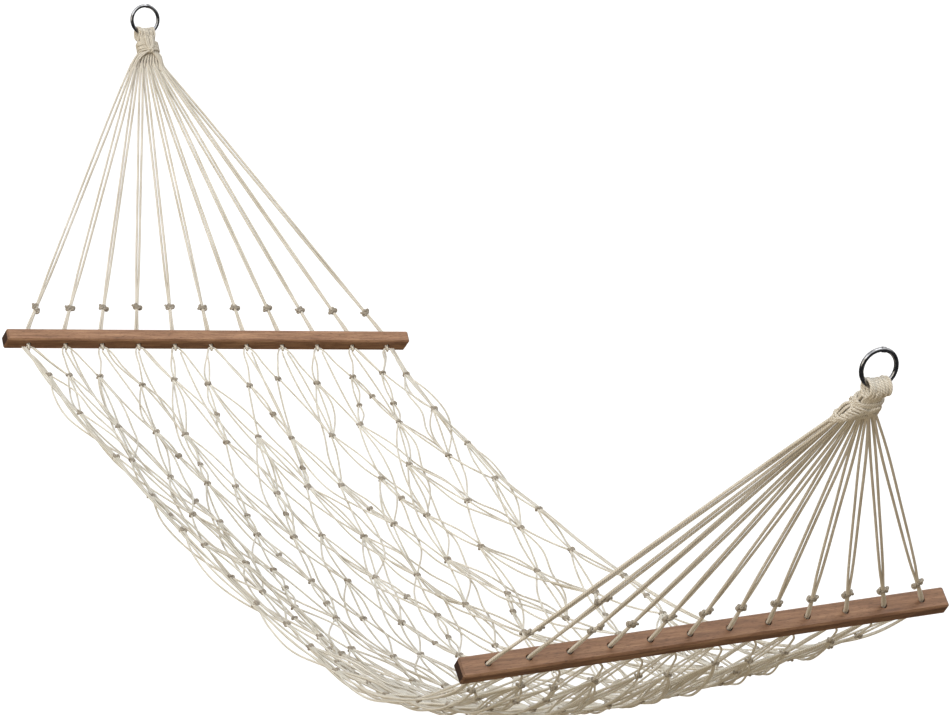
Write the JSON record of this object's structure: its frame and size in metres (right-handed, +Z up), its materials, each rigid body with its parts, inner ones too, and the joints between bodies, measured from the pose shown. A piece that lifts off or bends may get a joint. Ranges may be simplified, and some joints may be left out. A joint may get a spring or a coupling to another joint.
{
  "type": "rope net hammock",
  "caption": "Rope hammock: a knotted diamond net between wooden spreader bars, each hung by a fan of doubled clew lines lashed together on a steel ring.",
  "frame": {"origin": "midway between the points where the hooks bear in the rings", "axes": "+X along the hammock through both hook points, +Y across it along the spreader bars, +Z up"},
  "size_m": [2.8892, 0.8616, 0.8594],
  "materials": {
    "cotton_cord": "natural cotton rope, laid",
    "stained_wood": "brown stained hardwood, matt oil",
    "dark_steel": "dark bright-zinc plated, slightly worn"
  },
  "bodies": {
    "net": {"net_row_01": "cotton_cord", "net_row_02": "cotton_cord", "net_row_03": "cotton_cord", "net_row_04": "cotton_cord", "net_row_05": "cotton_cord", "net_row_06": "cotton_cord", "net_row_07": "cotton_cord", "net_row_08": "cotton_cord", "net_row_09": "cotton_cord", "net_row_10": "cotton_cord", "net_row_11": "cotton_cord", "net_row_12": "cotton_cord", "net_row_13": "cotton_cord", "near_edge_cords": "cotton_cord", "far_edge_cords": "cotton_cord"},
    "left_end": {"left_spreader_bar": "stained_wood", "left_clew_lines": "cotton_cord", "left_serving": "cotton_cord", "left_harness": "cotton_cord", "left_lashing": "cotton_cord"},
    "right_end": {"right_spreader_bar": "stained_wood", "right_clew_lines": "cotton_cord", "right_serving": "cotton_cord", "right_harness": "cotton_cord", "right_lashing": "cotton_cord"},
    "left_ring": {"left_ring": "dark_steel"},
    "right_ring": {"right_ring": "dark_steel"}
  },
  "joints": [
    {"name": "left_end_fold", "type": "hinge", "parent": "net", "child": "left_end", "pos_m": [-0.9375, -0.0312, -0.55803], "axis": [0, 0.9984, -0.0558], "range_deg": [-75, 75]},
    {"name": "left_ring_swing", "type": "hinge", "parent": "left_end", "child": "left_ring", "pos_m": [-1.42931, -0.00277, -0.04954], "axis": [0, 0.9984, -0.0558], "range_deg": [-120, 60]},
    {"name": "right_end_fold", "type": "hinge", "parent": "net", "child": "right_end", "pos_m": [0.9375, 0.0312, -0.55803], "axis": [0, -0.9984, -0.0558], "range_deg": [-75, 75]},
    {"name": "right_ring_swing", "type": "hinge", "parent": "right_end", "child": "right_ring", "pos_m": [1.42931, 0.00277, -0.04954], "axis": [0, -0.9984, -0.0558], "range_deg": [-120, 60]}
  ]
}
